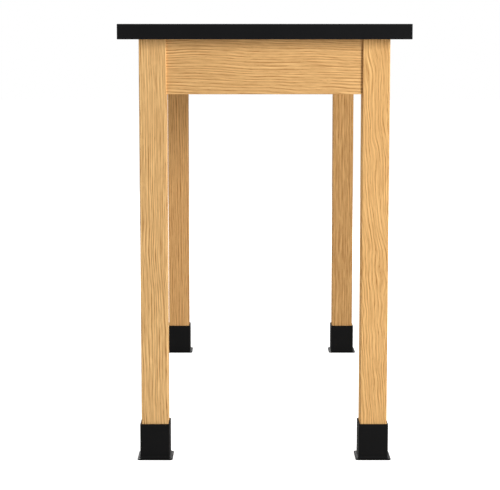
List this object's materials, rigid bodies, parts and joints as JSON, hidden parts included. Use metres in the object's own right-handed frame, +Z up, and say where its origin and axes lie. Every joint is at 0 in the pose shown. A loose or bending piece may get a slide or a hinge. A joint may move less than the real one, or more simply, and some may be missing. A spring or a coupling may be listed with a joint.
{
  "type": "science lab table",
  "caption": "Rectangular laboratory table with a black laminate top on square oak legs and aprons, with black coved boots over screw levelling feet.",
  "frame": {"origin": "on the floor, under the middle of the top", "axes": "+Z up, +Y along the table's length, +X across its width; the end at -Y is the one that the picture shows"},
  "size_m": [0.6096, 1.3716, 0.9283],
  "materials": {
    "oak": "clear satin lacquer over plain sawn oak",
    "board_core": "particle board",
    "black_laminate": "matt laminate with a fine texture",
    "black_edge_band": "satin",
    "backer_sheet": "matt brown paper laminate",
    "black_rubber": "matt moulded rubber",
    "zinc_steel": "bright zinc plate",
    "nylon": "moulded nylon"
  },
  "bodies": {
    "table_frame": {"top_core": "board_core", "top_laminate": "black_laminate", "top_backer_sheet": "backer_sheet", "edge_band_front": "black_edge_band", "edge_band_rear": "black_edge_band", "edge_band_left": "black_edge_band", "edge_band_right": "black_edge_band", "leg_front_left": "oak", "leg_front_right": "oak", "leg_rear_right": "oak", "leg_rear_left": "oak", "apron_front": "oak", "apron_rear": "oak", "apron_left": "oak", "apron_right": "oak", "corner_bracket_front_left": "zinc_steel", "corner_bracket_front_right": "zinc_steel", "corner_bracket_rear_right": "zinc_steel", "corner_bracket_rear_left": "zinc_steel", "hanger_bolts": "zinc_steel", "hanger_washers": "zinc_steel", "hanger_nuts": "zinc_steel", "bracket_screws": "zinc_steel", "top_clips": "zinc_steel", "clip_screws": "zinc_steel", "insert_nuts": "zinc_steel", "boot_front_left": "black_rubber", "boot_front_right": "black_rubber", "boot_rear_right": "black_rubber", "boot_rear_left": "black_rubber"},
    "leveller_foot_front_left": {"leveller_foot_front_left": "nylon"},
    "leveller_stud_front_left": {"leveller_stud_front_left": "zinc_steel"},
    "leveller_foot_front_right": {"leveller_foot_front_right": "nylon"},
    "leveller_stud_front_right": {"leveller_stud_front_right": "zinc_steel"},
    "leveller_foot_rear_right": {"leveller_foot_rear_right": "nylon"},
    "leveller_stud_rear_right": {"leveller_stud_rear_right": "zinc_steel"},
    "leveller_foot_rear_left": {"leveller_foot_rear_left": "nylon"},
    "leveller_stud_rear_left": {"leveller_stud_rear_left": "zinc_steel"}
  },
  "joints": [
    {"name": "leveller_travel_front_left", "type": "slide", "parent": "table_frame", "child": "leveller_foot_front_left", "axis": [0, 0, -1], "range_m": [0, 0.01905]},
    {"name": "leveller_turn_front_left", "type": "hinge", "parent": "leveller_foot_front_left", "child": "leveller_stud_front_left", "pos_m": [-0.23422, -0.61523, 0.01], "axis": [0, 0, -1], "range_deg": [0, 4320]},
    {"name": "leveller_travel_front_right", "type": "slide", "parent": "table_frame", "child": "leveller_foot_front_right", "axis": [0, 0, -1], "range_m": [0, 0.01905]},
    {"name": "leveller_turn_front_right", "type": "hinge", "parent": "leveller_foot_front_right", "child": "leveller_stud_front_right", "pos_m": [0.23422, -0.61523, 0.01], "axis": [0, 0, -1], "range_deg": [0, 4320]},
    {"name": "leveller_travel_rear_right", "type": "slide", "parent": "table_frame", "child": "leveller_foot_rear_right", "axis": [0, 0, -1], "range_m": [0, 0.01905]},
    {"name": "leveller_turn_rear_right", "type": "hinge", "parent": "leveller_foot_rear_right", "child": "leveller_stud_rear_right", "pos_m": [0.23422, 0.61523, 0.01], "axis": [0, 0, -1], "range_deg": [0, 4320]},
    {"name": "leveller_travel_rear_left", "type": "slide", "parent": "table_frame", "child": "leveller_foot_rear_left", "axis": [0, 0, -1], "range_m": [0, 0.01905]},
    {"name": "leveller_turn_rear_left", "type": "hinge", "parent": "leveller_foot_rear_left", "child": "leveller_stud_rear_left", "pos_m": [-0.23422, 0.61523, 0.01], "axis": [0, 0, -1], "range_deg": [0, 4320]}
  ],
  "couplings": [
    {"joint": "leveller_turn_front_left", "follows": "leveller_travel_front_left", "rad_per_m": 3957.9},
    {"joint": "leveller_turn_front_right", "follows": "leveller_travel_front_right", "rad_per_m": 3957.9},
    {"joint": "leveller_turn_rear_right", "follows": "leveller_travel_rear_right", "rad_per_m": 3957.9},
    {"joint": "leveller_turn_rear_left", "follows": "leveller_travel_rear_left", "rad_per_m": 3957.9}
  ]
}
